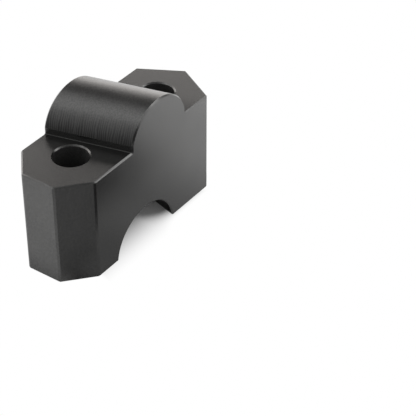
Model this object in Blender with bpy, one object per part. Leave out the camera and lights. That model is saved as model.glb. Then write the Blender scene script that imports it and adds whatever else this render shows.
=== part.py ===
"""Motorcycle bar riser: one block machined from aluminium and anodised black.

The block stands on its two feet. +X runs along the row of bolts towards the pointed end, +Y across the block
and +Z up. The origin is on the floor, under the middle of the block, midway between the two bolts.
The round top sits in the lower bar clamp in place of the bar, and the saddle between the feet takes the bar.
Round top and saddle are both turned about Z, to opposite sides, so that each follows its own clamp.
"""

import math

import bmesh
import bpy
from mathutils import Matrix, Vector

MM = 0.001

# Block outline, seen from above
BLOCK_LENGTH = 78.7 * MM
BLOCK_WIDTH = 30.0 * MM
SHOULDER_HEIGHT = 38.0 * MM
END_FACE_WIDTH = 12.8 * MM
END_CORNER_LENGTH = 9.8 * MM
POINT_LENGTH = 8.55 * MM

# Round top and saddle, both made to the bar's size
BAR_DIAMETER = 28.6 * MM
SPLIT_GAP = 1.5 * MM
TOP_TURN = math.radians(-14.5)
SADDLE_TURN = math.radians(16.5)

# Foot of the round top: an upright wall left by the side mill, with its small corner radius
STEP_HEIGHT = 2.3 * MM
CORNER_RADIUS = 0.3 * MM

# Bolt holes
BOLT_SPACING = 45.5 * MM
BOLT_HOLE_DIAMETER = 11.8 * MM
BOLT_RIM = 0.45 * MM

# Chamfer, and the least angle between two faces that gets one
CHAMFER = 0.5 * MM
CHAMFER_ANGLE = math.radians(35.0)

# Facets
ROUND_STEPS = 120
HOLE_STEPS = 56
FILLET_STEPS = 4
FLAT_ANGLE = math.radians(0.5)
SMOOTH_ANGLE = math.radians(30.0)
NEAR = 0.01 * MM

# How far the cutters stand out of the block
OVERCUT = 5.0 * MM
RIM_OVERCUT = 0.3 * MM

# Satin black anodising
BLACK = (0.1, 0.098, 0.095, 1.0)
METALLIC = 0.88
ROUGHNESS = 0.3


def clear_scene():
    for obj in list(bpy.data.objects):
        bpy.data.objects.remove(obj)


def add_object(name, bm):
    """Turn a bmesh into an object with its faces pointing out."""
    bmesh.ops.recalc_face_normals(bm, faces=bm.faces)
    mesh = bpy.data.meshes.new(name)
    bm.to_mesh(mesh)
    bm.free()
    obj = bpy.data.objects.new(name, mesh)
    bpy.context.scene.collection.objects.link(obj)
    return obj


def prism(name, outline, direction):
    """A closed solid: a flat outline of 3-D points, drawn out along a direction."""
    bm = bmesh.new()
    face = bm.faces.new([bm.verts.new(point) for point in outline])
    pushed = bmesh.ops.extrude_face_region(bm, geom=[face])
    verts = [item for item in pushed["geom"] if isinstance(item, bmesh.types.BMVert)]
    bmesh.ops.translate(bm, verts=verts, vec=direction)
    return add_object(name, bm)


def arc(centre_u, centre_z, radius, start, end, steps):
    """Points (u, z) along an arc, angles in radians from +u towards +z."""
    angles = [start + (end - start) * i / steps for i in range(steps + 1)]
    return [(centre_u + radius * math.cos(a), centre_z + radius * math.sin(a)) for a in angles]


def bar_radius():
    return BAR_DIAMETER / 2


def top_axis_height():
    return SHOULDER_HEIGHT - SPLIT_GAP


def crown_height():
    return top_axis_height() + bar_radius()


def stock():
    """The bar of metal before any cut: the plan outline, as tall as the crown and a little over."""
    half_length = BLOCK_LENGTH / 2
    half_width = BLOCK_WIDTH / 2
    half_end = END_FACE_WIDTH / 2
    near_corner = -half_length + END_CORNER_LENGTH
    far_corner = half_length - POINT_LENGTH
    plan = [
        (-half_length, half_end),
        (-half_length, -half_end),
        (near_corner, -half_width),
        (far_corner, -half_width),
        (half_length, 0.0),
        (far_corner, half_width),
        (near_corner, half_width),
    ]
    outline = [Vector((x, y, 0.0)) for x, y in plan]
    return prism("riser_block", outline, Vector((0.0, 0.0, crown_height() + OVERCUT)))


def cut_reach():
    """Half the size that a cutter needs to pass right through the block at any turn about Z."""
    return math.hypot(BLOCK_LENGTH, BLOCK_WIDTH) / 2 + OVERCUT


def half_top_profile():
    """The right half of the section above the shoulder, from far out on the shoulder up to the crown."""
    radius = bar_radius()
    axis = top_axis_height()
    step_top = SHOULDER_HEIGHT + STEP_HEIGHT
    start = math.asin((step_top - axis) / radius)
    steps = round(ROUND_STEPS * (math.pi / 2 - start) / (2 * math.pi))
    crown = arc(0.0, axis, radius, start, math.pi / 2, steps)
    wall = radius * math.cos(start)
    fillet = arc(
        wall + CORNER_RADIUS,
        SHOULDER_HEIGHT + CORNER_RADIUS,
        CORNER_RADIUS,
        -math.pi / 2,
        -math.pi,
        FILLET_STEPS,
    )
    return [(cut_reach(), SHOULDER_HEIGHT)] + fillet + crown


def shoulder_cutter():
    """Everything above the shoulders that isn't the round top, as one bent bar of space."""
    right = half_top_profile()
    left = [(-u, z) for u, z in reversed(right[:-1])]
    above = crown_height() + 2 * OVERCUT
    section = right + left + [(-cut_reach(), above), (cut_reach(), above)]
    reach = cut_reach()
    outline = [Vector((u, -reach, z)) for u, z in section]
    cutter = prism("cut_shoulders", outline, Vector((0.0, 2 * reach, 0.0)))
    cutter.rotation_euler.z = -TOP_TURN
    return cutter


def saddle_cutter():
    """The bar's own space between the feet: a full cylinder whose axis lies just under the floor."""
    bm = bmesh.new()
    turn = Matrix.Rotation(math.pi / 2, 4, "X")
    bmesh.ops.create_cone(
        bm,
        cap_ends=True,
        segments=ROUND_STEPS,
        radius1=bar_radius(),
        radius2=bar_radius(),
        depth=2 * cut_reach(),
        matrix=turn,
    )
    cutter = add_object("cut_saddle", bm)
    cutter.location.z = -SPLIT_GAP
    cutter.rotation_euler.z = -SADDLE_TURN
    return cutter


def bolt_cutter(name, x):
    """One bolt hole with a 45 degree rim at each mouth, as a turned solid."""
    radius = BOLT_HOLE_DIAMETER / 2
    wide = radius + BOLT_RIM + RIM_OVERCUT
    half = [
        (0.0, -RIM_OVERCUT),
        (wide, -RIM_OVERCUT),
        (radius, BOLT_RIM),
        (radius, SHOULDER_HEIGHT - BOLT_RIM),
        (wide, SHOULDER_HEIGHT + RIM_OVERCUT),
        (0.0, SHOULDER_HEIGHT + RIM_OVERCUT),
    ]
    bm = bmesh.new()
    verts = [bm.verts.new((r, 0.0, z)) for r, z in half]
    edges = [bm.edges.new(pair) for pair in zip(verts, verts[1:])]
    bmesh.ops.spin(
        bm,
        geom=verts + edges,
        cent=(0.0, 0.0, 0.0),
        axis=(0.0, 0.0, 1.0),
        angle=2 * math.pi,
        steps=HOLE_STEPS,
    )
    bmesh.ops.remove_doubles(bm, verts=bm.verts, dist=NEAR)
    cutter = add_object(name, bm)
    cutter.location.x = x
    return cutter


def hide_cutter(cutter):
    cutter.hide_render = True
    cutter.display_type = "WIRE"


def cut(block, cutter):
    """Take the cutter's space out of the block for good, and keep the cutter as a hidden guide."""
    modifier = block.modifiers.new(cutter.name, "BOOLEAN")
    modifier.operation = "DIFFERENCE"
    modifier.solver = "EXACT"
    modifier.object = cutter
    bpy.context.view_layer.update()
    graph = bpy.context.evaluated_depsgraph_get()
    cut_mesh = bpy.data.meshes.new_from_object(block.evaluated_get(graph))
    block.modifiers.remove(modifier)
    block.data = cut_mesh
    hide_cutter(cutter)


def on_bolt_rim(edge):
    """True for the small edges of the two bolt holes, which have their own rim already."""
    outer = BOLT_HOLE_DIAMETER / 2 + BOLT_RIM + NEAR
    for side in (-1, 1):
        axis = Vector((side * BOLT_SPACING / 2, 0.0))
        if all((vert.co.xy - axis).length < outer for vert in edge.verts):
            return True
    return False


def chamfer_edges(block):
    """Take the sharpness off every outer edge."""
    bm = bmesh.new()
    bm.from_mesh(block.data)
    bmesh.ops.remove_doubles(bm, verts=bm.verts, dist=NEAR)
    bmesh.ops.dissolve_limit(bm, angle_limit=FLAT_ANGLE, verts=bm.verts, edges=bm.edges)
    sharp = [
        edge
        for edge in bm.edges
        if edge.is_manifold
        and edge.calc_face_angle_signed() > CHAMFER_ANGLE
        and not on_bolt_rim(edge)
    ]
    bmesh.ops.bevel(
        bm,
        geom=sharp,
        offset=CHAMFER,
        offset_type="OFFSET",
        segments=1,
        affect="EDGES",
        clamp_overlap=False,
    )
    bm.to_mesh(block.data)
    bm.free()


def black_anodised():
    material = bpy.data.materials.new("black_anodised_aluminium")
    material.use_nodes = True
    shader = material.node_tree.nodes["Principled BSDF"]
    shader.inputs["Base Color"].default_value = BLACK
    shader.inputs["Metallic"].default_value = METALLIC
    shader.inputs["Roughness"].default_value = ROUGHNESS
    return material


def build():
    clear_scene()
    block = stock()
    cut(block, shoulder_cutter())
    cut(block, saddle_cutter())
    cut(block, bolt_cutter("cut_near_bolt", -BOLT_SPACING / 2))
    cut(block, bolt_cutter("cut_far_bolt", BOLT_SPACING / 2))
    chamfer_edges(block)
    block.data.materials.clear()
    block.data.materials.append(black_anodised())
    block.data.shade_smooth()
    block.data.set_sharp_from_angle(angle=SMOOTH_ANGLE)


build()
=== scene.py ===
"""Looks of the motorcycle bar riser: satin black anodised aluminium on a white floor.

The block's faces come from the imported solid. They are welded, shaded smooth and sorted by the cut that made
them, so that the round top, the saddle, the bolt holes, the chamfers, the shoulders and the other flat
faces each get their own surface. The cutter's marks are tone and bump in those surfaces.
Lengths are in metres, in the part's own frame: +X towards the pointed end, +Z up, and the origin on the
floor under the middle of the block.
"""

import math

import bmesh
import bpy
from mathutils import Euler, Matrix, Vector


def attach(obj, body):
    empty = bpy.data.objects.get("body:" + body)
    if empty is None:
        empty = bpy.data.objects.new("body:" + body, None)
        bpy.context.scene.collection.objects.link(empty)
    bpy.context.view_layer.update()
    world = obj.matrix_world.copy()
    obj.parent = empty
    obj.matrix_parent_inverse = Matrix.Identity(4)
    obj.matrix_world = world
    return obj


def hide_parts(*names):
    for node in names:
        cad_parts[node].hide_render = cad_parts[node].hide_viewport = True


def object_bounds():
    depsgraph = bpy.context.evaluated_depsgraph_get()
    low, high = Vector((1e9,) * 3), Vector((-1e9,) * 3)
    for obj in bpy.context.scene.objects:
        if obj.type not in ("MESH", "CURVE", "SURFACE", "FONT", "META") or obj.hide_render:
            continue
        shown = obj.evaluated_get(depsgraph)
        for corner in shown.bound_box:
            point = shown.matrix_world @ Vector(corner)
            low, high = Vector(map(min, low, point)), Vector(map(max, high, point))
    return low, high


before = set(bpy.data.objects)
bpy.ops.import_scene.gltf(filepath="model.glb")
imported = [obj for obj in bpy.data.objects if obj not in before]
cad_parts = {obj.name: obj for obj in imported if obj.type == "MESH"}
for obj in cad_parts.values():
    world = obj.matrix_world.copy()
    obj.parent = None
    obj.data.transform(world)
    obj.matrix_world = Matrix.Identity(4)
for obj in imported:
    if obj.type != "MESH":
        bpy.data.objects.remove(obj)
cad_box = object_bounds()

MM = 0.001

# Sizes that the surfaces follow, as in the solid
BAR_RADIUS = 14.3 * MM
SPLIT_GAP = 1.5 * MM
SHOULDER_HEIGHT = 38.0 * MM
STEP_HEIGHT = 2.3 * MM
CORNER_RADIUS = 0.3 * MM
BLOCK_WIDTH = 30.0 * MM
BOLT_SPACING = 45.5 * MM
BOLT_HOLE_RADIUS = 5.9 * MM
CHAMFER = 0.5 * MM
TOP_TURN = math.radians(-14.5)
SADDLE_TURN = math.radians(16.5)

# Camera, fitted to the photograph's perspective
CAMERA_PLACE = Vector((-315.98, -257.61, 313.07)) * MM
LOOK_AZIMUTH = math.radians(34.929)
LOOK_DOWN = math.radians(37.305)
CAMERA_ROLL = math.radians(0.279)
LENS_MM = 130.21
SENSOR_MM = 36.0

# Welding and shading
WELD = 0.002 * MM
FLAT_ANGLE = math.radians(0.5)
SHARP_ANGLE = math.radians(25.0)

# Sorting the faces: a face counts as level or upright by the height of its normal, and as a chamfer by its
# area over its longest edge
SLACK = 0.05 * MM
LEVEL_NORMAL = 0.99
UPRIGHT_NORMAL = 0.05
CHAMFER_BREADTH = 2.2 * CHAMFER

# Kinds of surface, in the order of the block's material slots
FLAT, ROUND_TOP, SADDLE, BORE, EDGE, CORNER, SHOULDER = range(7)

# Anodising: the black runs from low to high with a cloudy tone and a fine grain
METALLIC = 0.93
BORE_METALLIC = 0.82
BLACK_LOW = (0.096, 0.096, 0.095, 1.0)
BLACK_HIGH = (0.170, 0.169, 0.167, 1.0)
CLOUD_SIZE = 11.0 * MM
CLOUD_TONES = (0.4, 0.6)
GRAIN_SIZE = 0.5 * MM
GRAIN_SHARE = 0.5
GRAIN_BUMP = 0.25
BUMP_DEPTH = 0.04 * MM
FINE_DETAIL = 3.0
NOISE_RANGE = (0.3, 0.7)

# Smoothest and roughest spot of each surface
FLAT_ROUGHNESS = (0.24, 0.27)
ROUND_ROUGHNESS = (0.33, 0.38)
BORE_ROUGHNESS = (0.45, 0.55)
EDGE_ROUGHNESS = (0.23, 0.26)
CORNER_ROUGHNESS = (0.50, 0.60)

# Painted shade: a deeper black painted on the shoulders and corner at the foot of the round top, from just
# inside its wall
# # outwards, standing in for the round top's shade and its dark reflection in the shoulder
PAINTED_FOOT_SHADE_COLOUR = (0.078, 0.078, 0.077, 1.0)
STEP_BACK = 0.5 * MM
FOOT_SHADE = 9.5 * MM

# Cutter's marks: even rings that wander, mixed with uneven streaks. A streak's first size is round the axis
# and its second along it. On the way down from the crown, the marks fade in between two heights.
MARK_PITCH = 0.78 * MM
MARK_WANDER = 14.0
WANDER_STREAK = (9.0 * MM, 2.5 * MM)
UNEVEN_STREAK = (30.0 * MM, 0.42 * MM)
EVEN_MIDDLE = 0.5
EVEN_SWING = 0.3
EVEN_SHARE = 0.4
MARK_RANGE = (0.38, 0.62)
MARK_HEIGHTS = (49.0 * MM, 41.0 * MM)

# Lights: the level of the world's own light, and two square lamps with their place, side and brightness
AMBIENT = 0.60
LEFT_BOX = {"place": (-0.23, 0.32, 0.62), "size": 0.55, "brightness": 0.79}
RIGHT_BOX = {"place": (0.31, -0.40, 0.30), "size": 0.25, "brightness": 1.15}

# World as reflections see it. A rise is a range of the direction's height, and a side is a range of how far
# the direction points to an azimuth. Each range runs from where its part sets in to where the part is whole.
BACKDROP_AZIMUTH = math.radians(60.0)
BACKDROP_SIDE = (0.1, 0.75)
BACKDROP_LEVEL = 1.15
BACKDROP_WARMTH = (1.0, 0.965, 0.94, 1.0)
HORIZON_RISE = (0.5, 0.2)
HORIZON_LEVEL = 2.55
GAP_RISE = (0.55, 0.60)
GAP_SIDE = (0.0, 0.3)
GAP_LEVEL = 0.10
FRONT_RISE = (-0.15, 0.65)
FRONT_LEVELS = (0.14, 0.49)
DIM_SIDE = (-0.3, -0.6)
DIM_SHARE = 0.32
STRIP_AZIMUTH = math.radians(-70.0)
STRIP_SIDE = (0.62, 0.72)
STRIP_FOOT_RISE = (0.2, 0.4)
STRIP_HEAD_RISE = (0.75, 0.6)
STRIP_LEVEL = 1.0

# Floor: half its side, its height just under the feet, and its own colour
FLOOR_HALF = 3.0
FLOOR_HEIGHT = -0.02 * MM
FLOOR_WHITE = 0.8

# Floor as the camera sees it, with ranges that run from the whole shadow to plain white. Distances from the
# block's outline count more at the far foot, by a gain that sets in along X.
WHITE_BEYOND_BLOCK = (-13.5 * MM, 5.5 * MM)
WHITE_BESIDE_ARCH = (20.0 * MM, 30.0 * MM)
WHITE_BEHIND = (6.0 * MM, BLOCK_WIDTH / 2)
FAR_FOOT_X = (1.0 * MM, 14.0 * MM)
FAR_FOOT_GAIN = 3.0

# Floor as reflections see it, a painted reflection: soft dark patches of painted shade lie on it before the
# block, standing
# # in for the reflection of a second dark block and for the shade on the floor, a painted shadow darkens it
# under the block,
# # and its level differs from place to place as painted light and shade. A range runs along the axis in its
# name, from
# # where its patch or level sets in. Under the block it runs inwards from the outline.
SHADE_PATCH_Y = (-3.5 * MM, -15.0 * MM)
SHADE_PATCH_X = (57.0 * MM, 10.0 * MM)
SHADE_PATCH_DARKNESS = 0.625
DEEP_SHADE_PATCH_Y = (-32.0 * MM, -50.0 * MM)
DEEP_SHADE_PATCH_DARKNESS = 0.88
FOOT_SHADE_PATCH_Y = (-36.0 * MM, -26.0 * MM)
FOOT_SHADE_PATCH_X = (5.0 * MM, -15.0 * MM)
FOOT_SHADE_PATCH_DARKNESS = 0.3
SHADE_PATCH_END_X = (-48.0 * MM, -40.0 * MM)
# Painted shadow under the block, as reflections see the floor
UNDER_BLOCK = (3.0 * MM, -8.0 * MM)
UNDER_LEVEL = 0.02
OPEN_LEVEL = 1.06
BESIDE_END_X = (-34.0 * MM, -42.0 * MM)
BESIDE_END_LEVEL = 0.70
PAST_END_X = (-42.0 * MM, -75.0 * MM)
PAST_END_LEVEL = 1.16
FAR_LEFT_X = (-80.0 * MM, -150.0 * MM)
FAR_LEFT_LEVEL = 0.1
RIGHT_X = (56.0 * MM, 90.0 * MM)
RIGHT_LEVEL = 1.38
FAR_FRONT_Y = (-36.0 * MM, -60.0 * MM)
FAR_FRONT_LEVEL = 0.92


class Tree:
    """A small helper that adds nodes to one material or world and links them."""

    def __init__(self, owner):
        owner.use_nodes = True
        self.tree = owner.node_tree
        self.tree.nodes.clear()

    def add(self, kind, inputs=None, **settings):
        """A new node. An input is a plain value or a socket to link, and a setting is the node's own."""
        node = self.tree.nodes.new(kind)
        for name, value in settings.items():
            setattr(node, name, value)
        for name, value in (inputs or {}).items():
            socket = node.inputs[name]
            if isinstance(value, bpy.types.NodeSocket):
                self.tree.links.new(value, socket)
            else:
                socket.default_value = value
        return node

    def maths(self, operation, first, second=0.0, third=0.0):
        inputs = {0: first, 1: second, 2: third}
        return self.add("ShaderNodeMath", inputs, operation=operation).outputs[0]

    def product(self, first, *others):
        result = first
        for other in others:
            result = self.maths("MULTIPLY", result, other)
        return result

    def ramp(self, value, span, levels=(0.0, 1.0)):
        """Smoothly maps the two ends of the span to the two levels."""
        ends = {"From Min": span[0], "From Max": span[1], "To Min": levels[0], "To Max": levels[1]}
        node = self.add(
            "ShaderNodeMapRange", {"Value": value, **ends}, interpolation_type="SMOOTHSTEP"
        )
        return node.outputs["Result"]

    # The mix node has a row of sockets for each data type: 2 and 3 take numbers, 6 and 7 take colours
    def mix(self, share, first, second):
        return self.add("ShaderNodeMix", {0: share, 2: first, 3: second}).outputs[0]

    def mix_colour(self, share, first, second):
        inputs = {0: share, 6: first, 7: second}
        return self.add("ShaderNodeMix", inputs, data_type="RGBA").outputs[2]

    def dot(self, vector, fixed):
        """How far a vector reaches along a fixed direction."""
        inputs = {0: vector, 1: fixed}
        return self.add("ShaderNodeVectorMath", inputs, operation="DOT_PRODUCT").outputs["Value"]

    def noise(self, place, size):
        """Fine noise whose largest blobs are about the given size across."""
        inputs = {"Vector": place, "Scale": 1.0 / size, "Detail": FINE_DETAIL}
        return self.add("ShaderNodeTexNoise", inputs).outputs["Fac"]

    def seen_by(self):
        """Two values that are 1 for what the camera sees and for what reflections or glass show."""
        path = self.add("ShaderNodeLightPath").outputs
        mirrored = self.maths("MAXIMUM", path["Is Glossy Ray"], path["Is Transmission Ray"])
        return path["Is Camera Ray"], mirrored


def grey(value):
    return (value, value, value, 1.0)


def across_axis(point, turn):
    """Distance from a line through the origin that is turned about Z from +Y."""
    return point.x * math.cos(turn) - point.y * math.sin(turn)


def is_chamfer(face):
    """True for the narrow faces that take the sharpness off the outer edges."""
    longest = max(edge.calc_length() for edge in face.edges)
    return face.calc_area() < longest * CHAMFER_BREADTH


def cut_kind(face):
    """Which cut made this face."""
    point = face.calc_center_median()
    above = point.z - (SHOULDER_HEIGHT - SPLIT_GAP)
    below = point.z + SPLIT_GAP
    top_distance = math.hypot(across_axis(point, TOP_TURN), above)
    saddle_distance = math.hypot(across_axis(point, SADDLE_TURN), below)
    bolt_distance = math.hypot(abs(point.x) - BOLT_SPACING / 2, point.y)
    inside_width = abs(point.y) < BLOCK_WIDTH / 2 - CHAMFER
    level = abs(face.normal.z) > LEVEL_NORMAL
    leaning = face.normal.z > UPRIGHT_NORMAL and not level
    if leaning and inside_width and SHOULDER_HEIGHT < point.z < SHOULDER_HEIGHT + CORNER_RADIUS:
        return CORNER
    if level and abs(point.z - SHOULDER_HEIGHT) < SLACK:
        return SHOULDER
    if bolt_distance < BOLT_HOLE_RADIUS + SLACK and not level:
        return BORE
    if point.z > SHOULDER_HEIGHT + STEP_HEIGHT and abs(top_distance - BAR_RADIUS) < SLACK:
        return ROUND_TOP
    if saddle_distance < BAR_RADIUS + SLACK and inside_width:
        return SADDLE
    if is_chamfer(face) and not (inside_width and point.z > SHOULDER_HEIGHT):
        return EDGE
    return FLAT


def dress_block(node):
    """A welded copy of the solid's faces, with one material for each kind of cut."""
    bm = bmesh.new()
    bm.from_mesh(node.data)
    bmesh.ops.remove_doubles(bm, verts=bm.verts, dist=WELD)
    bmesh.ops.dissolve_limit(bm, angle_limit=FLAT_ANGLE, verts=bm.verts, edges=bm.edges)
    for face in bm.faces:
        face.smooth = True
        face.material_index = cut_kind(face)
    for edge in bm.edges:
        kinds = {face.material_index for face in edge.link_faces}
        edge.smooth = len(kinds) == 1 and edge.calc_face_angle() < SHARP_ANGLE
    mesh = bpy.data.meshes.new("riser_surface")
    bm.to_mesh(mesh)
    bm.free()
    for material in cut_materials():
        mesh.materials.append(material)
    block = bpy.data.objects.new("riser_surface", mesh)
    bpy.context.scene.collection.objects.link(block)
    normals = block.modifiers.new("even_normals", "WEIGHTED_NORMAL")
    normals.mode = "FACE_AREA"
    normals.keep_sharp = True
    return block


def cut_materials():
    """One material for each kind of surface, in the order of the kinds."""
    return [
        anodised("milled_flat", FLAT_ROUGHNESS),
        anodised("milled_round_top", ROUND_ROUGHNESS, turn=TOP_TURN),
        anodised("milled_saddle", ROUND_ROUGHNESS, turn=SADDLE_TURN),
        anodised("drilled_bore", BORE_ROUGHNESS, metallic=BORE_METALLIC),
        anodised("chamfer", EDGE_ROUGHNESS),
        # The corner and the shoulder take painted shade at the round top's foot
        anodised("milled_corner", CORNER_ROUGHNESS, painted_foot_shade=True),
        anodised("milled_shoulder", FLAT_ROUGHNESS, painted_foot_shade=True),
    ]


def anodised(name, roughness, turn=None, metallic=METALLIC, painted_foot_shade=False):
    """Satin black anodised aluminium. A turn adds the cutter's marks round the axis turned about Z.

    By the round top, a painted shade deepens the black towards the round top's foot.
    """
    material = bpy.data.materials.new(name)
    tree = Tree(material)
    place = tree.add("ShaderNodeTexCoord").outputs["Object"]
    cloud = tree.noise(place, CLOUD_SIZE)
    grain = tree.noise(place, GRAIN_SIZE)
    cloud_tone = tree.ramp(cloud, NOISE_RANGE, CLOUD_TONES)
    tone = tree.mix(GRAIN_SHARE, cloud_tone, tree.ramp(grain, NOISE_RANGE))
    height = tree.product(grain, GRAIN_BUMP)
    if turn is not None:
        marks = cutter_marks(tree, place, turn)
        height_above_floor = tree.add("ShaderNodeSeparateXYZ", {0: place}).outputs["Z"]
        depth = tree.ramp(height_above_floor, MARK_HEIGHTS)
        height = tree.maths("ADD", height, tree.product(marks, depth))
        tone = tree.mix(depth, tone, tree.ramp(marks, MARK_RANGE))
    colour = tree.mix_colour(tone, BLACK_LOW, BLACK_HIGH)
    # Painted shade: the black deepens towards the round top's foot, standing in for its shade and dark
    # reflection
    if painted_foot_shade:
        colour = tree.mix_colour(clear_of_painted_foot_shade(tree, place), PAINTED_FOOT_SHADE_COLOUR, colour)
    bump = tree.add("ShaderNodeBump", {"Height": height, "Strength": 1.0, "Distance": BUMP_DEPTH})
    inputs = {
        "Base Color": colour,
        "Metallic": metallic,
        "Roughness": tree.ramp(cloud, NOISE_RANGE, roughness),
        "Normal": bump.outputs["Normal"],
    }
    shader = tree.add("ShaderNodeBsdfPrincipled", inputs)
    tree.add("ShaderNodeOutputMaterial", {"Surface": shader.outputs["BSDF"]})
    return material


def clear_of_painted_foot_shade(tree, place):
    """Mask of the painted shade at the round top's foot: 0 at the foot, 1 where the shoulder is well clear of
    it.
    """
    along_shoulder = tree.dot(place, (math.cos(TOP_TURN), -math.sin(TOP_TURN), 0.0))
    distance = tree.maths("ABSOLUTE", along_shoulder)
    return tree.ramp(distance, (BAR_RADIUS - STEP_BACK, BAR_RADIUS + FOOT_SHADE))


def cutter_marks(tree, place, turn):
    """Fine uneven lines that run round a turned axis, from 0 to 1."""
    turned = tree.add(
        "ShaderNodeMapping", {"Vector": place, "Rotation": Euler((0.0, 0.0, turn))}
    ).outputs["Vector"]
    uneven = streaks(tree, turned, UNEVEN_STREAK)
    wander = tree.product(streaks(tree, turned, WANDER_STREAK), MARK_WANDER)
    on_axis = tree.add("ShaderNodeSeparateXYZ", {0: turned}).outputs["Y"]
    phase = tree.maths("MULTIPLY_ADD", on_axis, 2 * math.pi / MARK_PITCH, wander)
    even = tree.maths("MULTIPLY_ADD", tree.maths("SINE", phase), EVEN_SWING, EVEN_MIDDLE)
    return tree.mix(EVEN_SHARE, uneven, even)


def streaks(tree, turned, sizes):
    """Noise drawn out to one size round the axis and another size along it."""
    around, along = sizes
    scale = Vector((1.0 / around, 1.0 / along, 1.0 / around))
    stretched = tree.add("ShaderNodeMapping", {"Vector": turned, "Scale": scale})
    return tree.noise(stretched.outputs["Vector"], 1.0)


def make_floor():
    low, high = -FLOOR_HALF, FLOOR_HALF
    outline = [(low, low), (high, low), (high, high), (low, high)]
    mesh = bpy.data.meshes.new("floor")
    mesh.from_pydata([(x, y, FLOOR_HEIGHT) for x, y in outline], [], [(0, 1, 2, 3)])
    mesh.materials.append(white_floor())
    floor = bpy.data.objects.new("floor", mesh)
    bpy.context.scene.collection.objects.link(floor)


def white_floor():
    """White card: it keeps the block's shadow under the arch and burns out to white around it.

    Reflections see it white as well, apart from painted reflection: soft dark patches of painted shade before
    the block, a painted shadow under it and painted levels of light elsewhere.
    """
    material = bpy.data.materials.new("white_floor")
    tree = Tree(material)
    place = tree.add("ShaderNodeTexCoord").outputs["Object"]
    axes = tree.add("ShaderNodeSeparateXYZ", {0: place}).outputs
    beyond = beyond_block(tree, axes["X"], axes["Y"])
    white = burnt_out(tree, axes["X"], axes["Y"], beyond)
    by_camera, by_mirror = tree.seen_by()
    share = tree.maths("MAXIMUM", tree.product(white, by_camera), by_mirror)
    strength = tree.mix(by_mirror, 1.0, mirrored_floor(tree, axes["X"], axes["Y"], beyond))
    lit = tree.add("ShaderNodeBsdfDiffuse", {"Color": grey(FLOOR_WHITE)})
    glow = tree.add("ShaderNodeEmission", {"Color": grey(1.0), "Strength": strength})
    surface = tree.add("ShaderNodeMixShader", {0: share, 1: lit.outputs[0], 2: glow.outputs[0]})
    tree.add("ShaderNodeOutputMaterial", {"Surface": surface.outputs[0]})
    return material


def beyond_block(tree, x, y):
    """Distance beyond the block's outline, below 0 under the block, with the gain of the far foot."""
    beyond_side = tree.maths("SUBTRACT", tree.maths("ABSOLUTE", y), BLOCK_WIDTH / 2)
    beyond_end = tree.maths("SUBTRACT", tree.maths("ABSOLUTE", x), cad_box[1][0])
    distance = tree.maths("MAXIMUM", beyond_side, beyond_end)
    return tree.product(distance, tree.ramp(x, FAR_FOOT_X, (1.0, FAR_FOOT_GAIN)))


def burnt_out(tree, x, y, beyond):
    """1 where the camera sees the floor as plain white, 0 where it sees the whole shadow."""
    beside_arch = tree.ramp(tree.maths("ABSOLUTE", x), WHITE_BESIDE_ARCH)
    behind = tree.ramp(y, WHITE_BEHIND)
    around = tree.ramp(beyond, WHITE_BEYOND_BLOCK)
    return tree.maths("MAXIMUM", tree.maths("MAXIMUM", beside_arch, behind), around)


def mirrored_floor(tree, x, y, beyond):
    """How bright reflections see the floor: painted light and shade that the block's faces reflect."""
    shade_patch_side = tree.ramp(x, SHADE_PATCH_X)
    shade_patch_end = tree.ramp(x, SHADE_PATCH_END_X)
    # Painted reflection: patches of painted shade, a painted shadow under the block and painted levels of
    # light across the floor
    return tree.product(
        left_by_shade_patch(tree, SHADE_PATCH_DARKNESS, tree.ramp(y, SHADE_PATCH_Y), shade_patch_side),
        left_by_shade_patch(tree, DEEP_SHADE_PATCH_DARKNESS, tree.ramp(y, DEEP_SHADE_PATCH_Y), shade_patch_side, shade_patch_end),
        left_by_shade_patch(
            tree, FOOT_SHADE_PATCH_DARKNESS, tree.ramp(y, FOOT_SHADE_PATCH_Y), tree.ramp(x, FOOT_SHADE_PATCH_X), shade_patch_end
        ),
        tree.ramp(beyond, UNDER_BLOCK, (OPEN_LEVEL, UNDER_LEVEL)),
        tree.ramp(x, BESIDE_END_X, (1.0, BESIDE_END_LEVEL)),
        tree.ramp(x, PAST_END_X, (1.0, PAST_END_LEVEL)),
        tree.ramp(x, FAR_LEFT_X, (1.0, FAR_LEFT_LEVEL)),
        tree.ramp(x, RIGHT_X, (1.0, RIGHT_LEVEL)),
        tree.ramp(y, FAR_FRONT_Y, (1.0, FAR_FRONT_LEVEL)),
    )


def left_by_shade_patch(tree, darkness, *sides):
    """What a dark patch of painted shade leaves of the light. The patch lies where each of its sides is 1."""
    return tree.maths("SUBTRACT", 1.0, tree.product(*sides, darkness))


def make_world():
    """White to the camera and an even light on the block.

    Reflections see a bright backdrop with a dark gap above it, and a dimmer side before the block.
    """
    world = bpy.data.worlds.new("studio")
    bpy.context.scene.world = world
    tree = Tree(world)
    direction = tree.add("ShaderNodeTexCoord").outputs["Generated"]
    up = tree.add("ShaderNodeSeparateXYZ", {0: direction}).outputs["Z"]
    away = facing(tree, direction, BACKDROP_AZIMUTH)
    backdrop_share = tree.ramp(away, BACKDROP_SIDE)
    backdrop = tree.ramp(up, HORIZON_RISE, (BACKDROP_LEVEL, HORIZON_LEVEL))
    around = tree.mix(backdrop_share, before_block(tree, direction, up, away), backdrop)
    gap = tree.product(tree.ramp(up, GAP_RISE), tree.ramp(away, GAP_SIDE))
    by_camera, by_mirror = tree.seen_by()
    lighting = tree.mix(by_mirror, AMBIENT, tree.mix(gap, around, GAP_LEVEL))
    strength = tree.mix(by_camera, lighting, 1.0)
    colour = tree.mix_colour(tree.product(by_mirror, backdrop_share), grey(1.0), BACKDROP_WARMTH)
    background = tree.add("ShaderNodeBackground", {"Color": colour, "Strength": strength})
    tree.add("ShaderNodeOutputWorld", {"Surface": background.outputs["Background"]})


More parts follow.
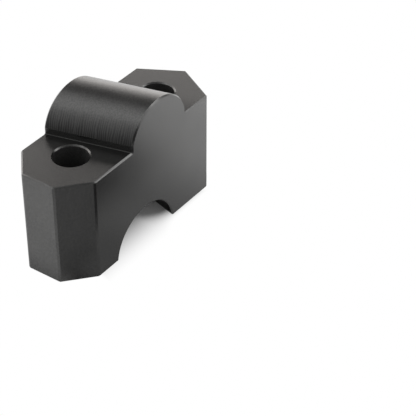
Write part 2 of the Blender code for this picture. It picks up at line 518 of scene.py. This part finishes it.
def before_block(tree, direction, up, away):
    """World on the camera's side: brighter with height, dimmer opposite the backdrop, with one strip."""
    front = tree.product(
        tree.ramp(up, FRONT_RISE, FRONT_LEVELS), tree.ramp(away, DIM_SIDE, (1.0, DIM_SHARE))
    )
    strip = tree.product(
        tree.ramp(up, STRIP_FOOT_RISE),
        tree.ramp(up, STRIP_HEAD_RISE),
        tree.ramp(facing(tree, direction, STRIP_AZIMUTH), STRIP_SIDE),
    )
    return tree.mix(strip, front, STRIP_LEVEL)


def facing(tree, direction, azimuth):
    """How far a direction points to an azimuth on the horizon, from -1 to 1."""
    return tree.dot(direction, (math.cos(azimuth), math.sin(azimuth), 0.0))


def soft_box(name, place, size, brightness):
    """A square lamp aimed at the block. Its power follows its area, so that its brightness does not."""
    lamp = bpy.data.lights.new(name, "AREA")
    lamp.shape = "SQUARE"
    lamp.size = size
    lamp.energy = brightness * math.pi * size ** 2
    box = bpy.data.objects.new(name, lamp)
    box.location = place
    aim = Vector((0.0, 0.0, SHOULDER_HEIGHT / 2))
    box.rotation_mode = "QUATERNION"
    box.rotation_quaternion = (aim - box.location).to_track_quat("-Z", "Y")
    bpy.context.scene.collection.objects.link(box)


def make_lamps():
    soft_box("left_box", **LEFT_BOX)
    soft_box("right_box", **RIGHT_BOX)


def make_camera():
    data = bpy.data.cameras.new("camera")
    data.sensor_width = SENSOR_MM
    data.lens = LENS_MM
    camera = bpy.data.objects.new("camera", data)
    level = math.cos(LOOK_DOWN)
    forward = Vector(
        (level * math.cos(LOOK_AZIMUTH), level * math.sin(LOOK_AZIMUTH), -math.sin(LOOK_DOWN))
    )
    camera.location = CAMERA_PLACE
    roll = Euler((0.0, 0.0, CAMERA_ROLL)).to_quaternion()
    camera.rotation_mode = "QUATERNION"
    camera.rotation_quaternion = forward.to_track_quat("-Z", "Y") @ roll
    bpy.context.scene.collection.objects.link(camera)
    bpy.context.scene.camera = camera


block = dress_block(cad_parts["riser_block"])
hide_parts("riser_block")
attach(block, "root")
make_floor()
make_world()
make_lamps()
make_camera()
bpy.context.scene.view_settings.view_transform = "Standard"
